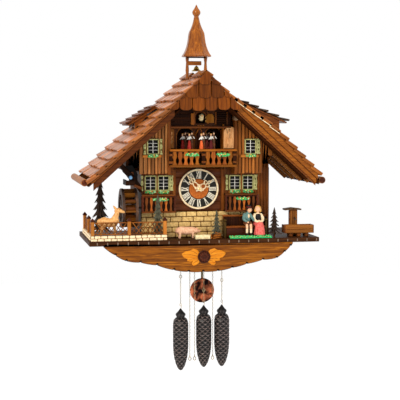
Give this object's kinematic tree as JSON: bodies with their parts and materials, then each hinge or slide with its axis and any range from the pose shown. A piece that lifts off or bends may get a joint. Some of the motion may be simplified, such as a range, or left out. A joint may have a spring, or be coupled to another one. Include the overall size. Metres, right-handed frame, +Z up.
{
  "type": "cuckoo clock",
  "caption": "Wall-hung chalet cuckoo clock with shingled roof, bell tower, turning dancers and mill wheel, swinging pendulum and chain-driven cone weights.",
  "frame": {"origin": "centre of the hanging hole, on the back face of the back panel", "axes": "+X to the viewer's right, +Y into the wall, +Z up"},
  "size_m": [0.7, 0.3544, 1.076],
  "materials": {
    "oak": "satin varnish",
    "stained_wood": "satin varnish",
    "shingle": "satin varnish",
    "masonry": "painted and carved",
    "window_white": "matt",
    "pane": "gloss",
    "green_paint": "painted",
    "pine_green": "matt",
    "figure_paint": "painted",
    "dial_face": "satin",
    "bone": "satin",
    "brass": "polished",
    "steel": "brushed",
    "rod": "satin",
    "copper": "polished copper",
    "iron": "satin"
  },
  "bodies": {
    "root": {"back_panel": "oak", "case_sides": "oak", "roof_boards": "oak", "bellows": "oak", "stage_wall": "oak", "gable_wall": "oak", "dormers": "oak", "lower_walls": "oak", "base_platform": "stained_wood", "base_fascia": "stained_wood", "roof_timbers": "stained_wood", "tower_posts": "stained_wood", "tower_spire": "stained_wood", "log_wall": "stained_wood", "upper_walls": "stained_wood", "stage_balcony": "stained_wood", "window_balconies": "stained_wood", "bench": "stained_wood", "fountain": "stained_wood", "mill_flume": "stained_wood", "garden_fence": "stained_wood", "yard_items": "stained_wood", "roof_shingles": "shingle", "stone_wall": "masonry", "garden_wall": "masonry", "window_frames": "window_white", "window_panes": "pane", "window_shutters": "green_paint", "flower_boxes": "green_paint", "pine_trees": "pine_green", "farm_animals": "figure_paint", "girl_figure": "figure_paint", "dial": "dial_face", "movement_plates": "brass", "gong": "steel"},
    "minute": {"minute_hand": "bone", "cannon_pinion": "brass"},
    "hour": {"hour_hand": "bone", "hour_wheel": "brass"},
    "idler": {"minute_wheel": "brass"},
    "pendulum": {"pendulum_rod": "rod", "pendulum_bob": "copper"},
    "bird": {"cuckoo": "figure_paint"},
    "door": {"cuckoo_door": "stained_wood"},
    "bell": {"bell": "brass"},
    "mill": {"mill_wheel": "stained_wood"},
    "carousel": {"carousel": "figure_paint"},
    "boy": {"boy_figure": "figure_paint"},
    "weight_left": {"weight_left": "iron", "chain_left": "brass"},
    "pull_left": {"pull_chain_left": "brass"},
    "sprocket_left": {"chain_wheel_left": "brass"},
    "weight_centre": {"weight_centre": "iron", "chain_centre": "brass"},
    "pull_centre": {"pull_chain_centre": "brass"},
    "sprocket_centre": {"chain_wheel_centre": "brass"},
    "weight_right": {"weight_right": "iron", "chain_right": "brass"},
    "pull_right": {"pull_chain_right": "brass"},
    "sprocket_right": {"chain_wheel_right": "brass"}
  },
  "joints": [
    {"name": "minute_turn", "type": "hinge", "parent": "root", "child": "minute", "pos_m": [0, -0.2, -0.19], "axis": [0, 1, 0], "continuous": true},
    {"name": "hour_turn", "type": "hinge", "parent": "root", "child": "hour", "pos_m": [0, -0.2, -0.19], "axis": [0, 1, 0], "continuous": true},
    {"name": "idler_turn", "type": "hinge", "parent": "root", "child": "idler", "pos_m": [0.012, -0.2, -0.19], "axis": [0, 1, 0], "continuous": true},
    {"name": "weight_left_drop", "type": "slide", "parent": "root", "child": "weight_left", "axis": [0, 0, 1], "range_m": [-0.19, 0.08]},
    {"name": "pull_left_rise", "type": "slide", "parent": "root", "child": "pull_left", "axis": [0, 0, 1], "range_m": [-0.08, 0.19]},
    {"name": "sprocket_left_turn", "type": "hinge", "parent": "root", "child": "sprocket_left", "pos_m": [-0.029, -0.17, -0.235], "axis": [0, 1, 0], "range_deg": [-783.68, 330.26]},
    {"name": "weight_centre_drop", "type": "slide", "parent": "root", "child": "weight_centre", "axis": [0, 0, 1], "range_m": [-0.19, 0.08]},
    {"name": "pull_centre_rise", "type": "slide", "parent": "root", "child": "pull_centre", "axis": [0, 0, 1], "range_m": [-0.08, 0.19]},
    {"name": "sprocket_centre_turn", "type": "hinge", "parent": "root", "child": "sprocket_centre", "pos_m": [0.0131, -0.17, -0.235], "axis": [0, 1, 0], "range_deg": [-330.26, 783.68]},
    {"name": "weight_right_drop", "type": "slide", "parent": "root", "child": "weight_right", "axis": [0, 0, 1], "range_m": [-0.19, 0.08]},
    {"name": "pull_right_rise", "type": "slide", "parent": "root", "child": "pull_right", "axis": [0, 0, 1], "range_m": [-0.08, 0.19]},
    {"name": "sprocket_right_turn", "type": "hinge", "parent": "root", "child": "sprocket_right", "pos_m": [0.0681, -0.17, -0.235], "axis": [0, 1, 0], "range_deg": [-330.26, 783.68]},
    {"name": "pendulum_swing", "type": "hinge", "parent": "root", "child": "pendulum", "pos_m": [0.03, -0.13, -0.15], "axis": [0, 1, 0], "range_deg": [-5, 5]},
    {"name": "cuckoo_slide", "type": "slide", "parent": "root", "child": "bird", "axis": [0, 1, 0], "range_m": [0, 0.034]},
    {"name": "door_turn", "type": "hinge", "parent": "root", "child": "door", "pos_m": [0.0155, -0.2545, 0], "axis": [0, 0, 1], "range_deg": [-140.5, 0]},
    {"name": "bell_swing", "type": "hinge", "parent": "root", "child": "bell", "pos_m": [0, -0.195, 0.166], "axis": [1, 0, 0], "range_deg": [-20, 20]},
    {"name": "mill_turn", "type": "hinge", "parent": "root", "child": "mill", "pos_m": [-0.202, -0.205, -0.244], "axis": [1, 0, 0], "continuous": true},
    {"name": "carousel_turn", "type": "hinge", "parent": "root", "child": "carousel", "pos_m": [0.002, -0.228, -0.08], "axis": [0, 0, 1], "continuous": true},
    {"name": "boy_lean", "type": "hinge", "parent": "root", "child": "boy", "pos_m": [0.136, -0.262, -0.296], "axis": [0, 1, 0], "range_deg": [-10, 0]}
  ],
  "couplings": [
    {"joint": "hour_turn", "follows": "minute_turn", "ratio": 0.083333},
    {"joint": "idler_turn", "follows": "minute_turn", "ratio": -0.33333},
    {"joint": "pull_left_rise", "follows": "weight_left_drop", "ratio": -1},
    {"joint": "sprocket_left_turn", "follows": "weight_left_drop", "rad_per_m": 71.942},
    {"joint": "pull_centre_rise", "follows": "weight_centre_drop", "ratio": -1},
    {"joint": "sprocket_centre_turn", "follows": "weight_centre_drop", "rad_per_m": -71.942},
    {"joint": "pull_right_rise", "follows": "weight_right_drop", "ratio": -1},
    {"joint": "sprocket_right_turn", "follows": "weight_right_drop", "rad_per_m": -71.942},
    {"joint": "door_turn", "follows": "cuckoo_slide", "rad_per_m": -71.867}
  ]
}
